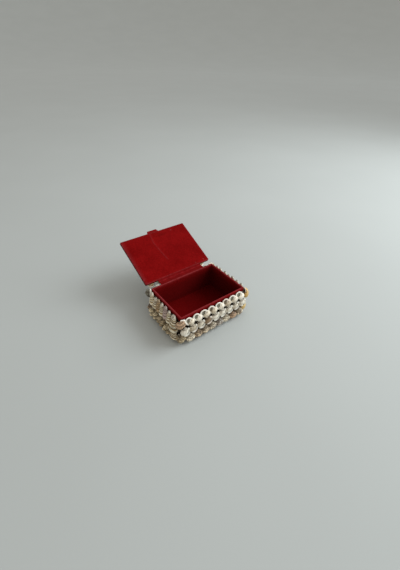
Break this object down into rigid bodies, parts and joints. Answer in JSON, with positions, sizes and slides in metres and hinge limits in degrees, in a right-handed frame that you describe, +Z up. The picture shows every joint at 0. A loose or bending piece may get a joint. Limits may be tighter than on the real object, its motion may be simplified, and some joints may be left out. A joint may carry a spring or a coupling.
{
  "type": "shell box",
  "caption": "Small rectangular trinket box covered outside with sea shells and lined with red felt, with a hinged lid that leans back open.",
  "frame": {"origin": "centre of the box's underside, on the surface that it stands on", "axes": "+X to the right seen from the front, +Y to the back, where the hinge and the open lid are, +Z up"},
  "size_m": [0.128, 0.1729, 0.0787],
  "materials": {
    "card": "matte",
    "felt": "matte",
    "hinge_cloth": "matte",
    "ribbon": "satin",
    "cream_shell": "satin",
    "grey_shell": "satin",
    "brown_shell": "satin",
    "yellow_shell": "gloss"
  },
  "bodies": {
    "box": {"box_carcass": "card", "box_lining": "felt", "hinge_cloth_box": "hinge_cloth", "front_shells_top": "cream_shell", "front_shells_middle": "cream_shell", "front_shells_bottom": "brown_shell", "right_shells_top": "cream_shell", "right_shells_middle": "grey_shell", "right_shells_bottom": "brown_shell", "back_shells_top": "cream_shell", "back_shells_middle": "grey_shell", "back_shells_bottom": "brown_shell", "left_shells_top": "cream_shell", "left_shells_middle": "grey_shell", "left_shells_bottom": "grey_shell", "left_end_shell_top": "cream_shell", "left_end_shell_bottom": "cream_shell", "corner_front_right_top": "yellow_shell", "corner_front_right_bottom": "yellow_shell", "corner_back_right_top": "cream_shell", "corner_back_right_bottom": "brown_shell", "corner_back_left_top": "grey_shell", "corner_back_left_bottom": "brown_shell", "corner_front_left_top": "brown_shell", "corner_front_left_bottom": "grey_shell"},
    "lid": {"lid_board": "card", "lid_lining": "felt", "hinge_cloth_lid": "hinge_cloth", "pull_tab": "ribbon", "lid_shells_outer_front": "cream_shell", "lid_shells_outer_right": "grey_shell", "lid_shells_outer_back": "grey_shell", "lid_shells_outer_left": "grey_shell", "lid_shells_inner_front": "cream_shell", "lid_shells_inner_right": "grey_shell", "lid_shells_inner_back": "grey_shell", "lid_shells_inner_left": "grey_shell", "lid_centre_shell": "brown_shell"}
  },
  "joints": [
    {"name": "lid_hinge", "type": "hinge", "parent": "box", "child": "lid", "pos_m": [0, 0.04405, 0.0438], "axis": [1, 0, 0], "range_deg": [0, 156]}
  ]
}
